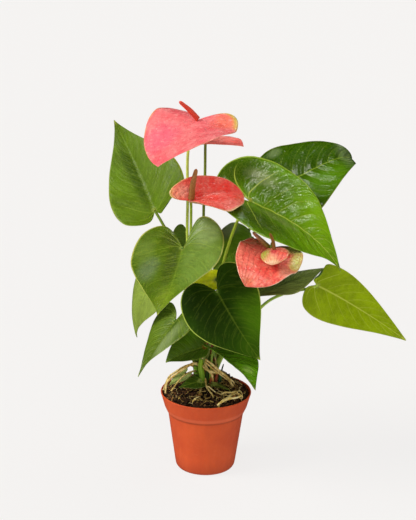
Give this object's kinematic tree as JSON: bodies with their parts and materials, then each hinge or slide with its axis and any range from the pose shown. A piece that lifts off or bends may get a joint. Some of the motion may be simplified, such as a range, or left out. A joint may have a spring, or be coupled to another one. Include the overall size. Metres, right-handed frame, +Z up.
{
  "type": "potted anthurium plant",
  "caption": "Potted anthurium with glossy heart-shaped leaves and coral heart-shaped spathes with spadices, in a tapered terracotta-coloured nursery pot.",
  "frame": {"origin": "centre of the pot's flat underside, on the surface it stands on", "axes": "+Z up out of the pot, +X to the right and -Y towards the viewer when seen as in the picture"},
  "size_m": [0.3502, 0.3246, 0.4366],
  "materials": {
    "pot_plastic": "matte",
    "potting_mix": "matte",
    "crown_left": "matte",
    "crown_centre": "matte",
    "crown_right": "matte",
    "aerial_root": "matte",
    "sheath": "satin",
    "leaf_upper_left": "satin",
    "leaf_centre_left": "satin",
    "leaf_front_centre": "satin",
    "leaf_upper_right": "satin",
    "leaf_back_right": "satin",
    "leaf_lower_right": "satin",
    "leaf_edge_right": "satin",
    "leaf_behind_right": "satin",
    "leaf_behind_left": "satin",
    "leaf_far_left": "satin",
    "leaf_lower_left": "satin",
    "leaf_low_left": "satin",
    "leaf_low_right": "satin",
    "leaf_young": "satin",
    "leaf_soil_front": "satin",
    "leaf_soil_left": "satin",
    "leaf_soil_right": "satin",
    "leaf_soil_bud": "satin",
    "bloom_top_stalk": "satin",
    "bloom_top_spathe": "satin",
    "bloom_top_spadix": "matte",
    "bloom_rear_stalk": "satin",
    "bloom_rear_spathe": "satin",
    "bloom_rear_spadix": "matte",
    "bloom_middle_stalk": "satin",
    "bloom_middle_spathe": "satin",
    "bloom_middle_spadix": "matte",
    "bloom_right_stalk": "satin",
    "bloom_right_spathe": "satin",
    "bloom_right_spadix": "matte",
    "bloom_pale_stalk": "satin",
    "bloom_pale_spathe": "satin",
    "bloom_pale_spadix": "matte"
  },
  "bodies": {
    "root": {"pot": "pot_plastic", "soil": "potting_mix", "crown_left": "crown_left", "crown_centre": "crown_centre", "crown_right": "crown_right", "root_left_high": "aerial_root", "root_left_low": "aerial_root", "root_right_high": "aerial_root", "root_front": "aerial_root", "root_front_left": "aerial_root", "root_front_right": "aerial_root", "root_rim": "aerial_root", "sheath": "sheath", "leaf_upper_left": "leaf_upper_left", "leaf_centre_left": "leaf_centre_left", "leaf_front_centre": "leaf_front_centre", "leaf_upper_right": "leaf_upper_right", "leaf_back_right": "leaf_back_right", "leaf_lower_right": "leaf_lower_right", "leaf_edge_right": "leaf_edge_right", "leaf_behind_right": "leaf_behind_right", "leaf_behind_left": "leaf_behind_left", "leaf_far_left": "leaf_far_left", "leaf_lower_left": "leaf_lower_left", "leaf_low_left": "leaf_low_left", "leaf_low_right": "leaf_low_right", "leaf_young": "leaf_young", "leaf_soil_front": "leaf_soil_front", "leaf_soil_left": "leaf_soil_left", "leaf_soil_right": "leaf_soil_right", "leaf_soil_bud": "leaf_soil_bud", "bloom_top_stalk": "bloom_top_stalk", "bloom_top_spathe": "bloom_top_spathe", "bloom_top_spadix": "bloom_top_spadix", "bloom_rear_stalk": "bloom_rear_stalk", "bloom_rear_spathe": "bloom_rear_spathe", "bloom_rear_spadix": "bloom_rear_spadix", "bloom_middle_stalk": "bloom_middle_stalk", "bloom_middle_spathe": "bloom_middle_spathe", "bloom_middle_spadix": "bloom_middle_spadix", "bloom_right_stalk": "bloom_right_stalk", "bloom_right_spathe": "bloom_right_spathe", "bloom_right_spadix": "bloom_right_spadix", "bloom_pale_stalk": "bloom_pale_stalk", "bloom_pale_spathe": "bloom_pale_spathe", "bloom_pale_spadix": "bloom_pale_spadix"}
  },
  "joints": []
}
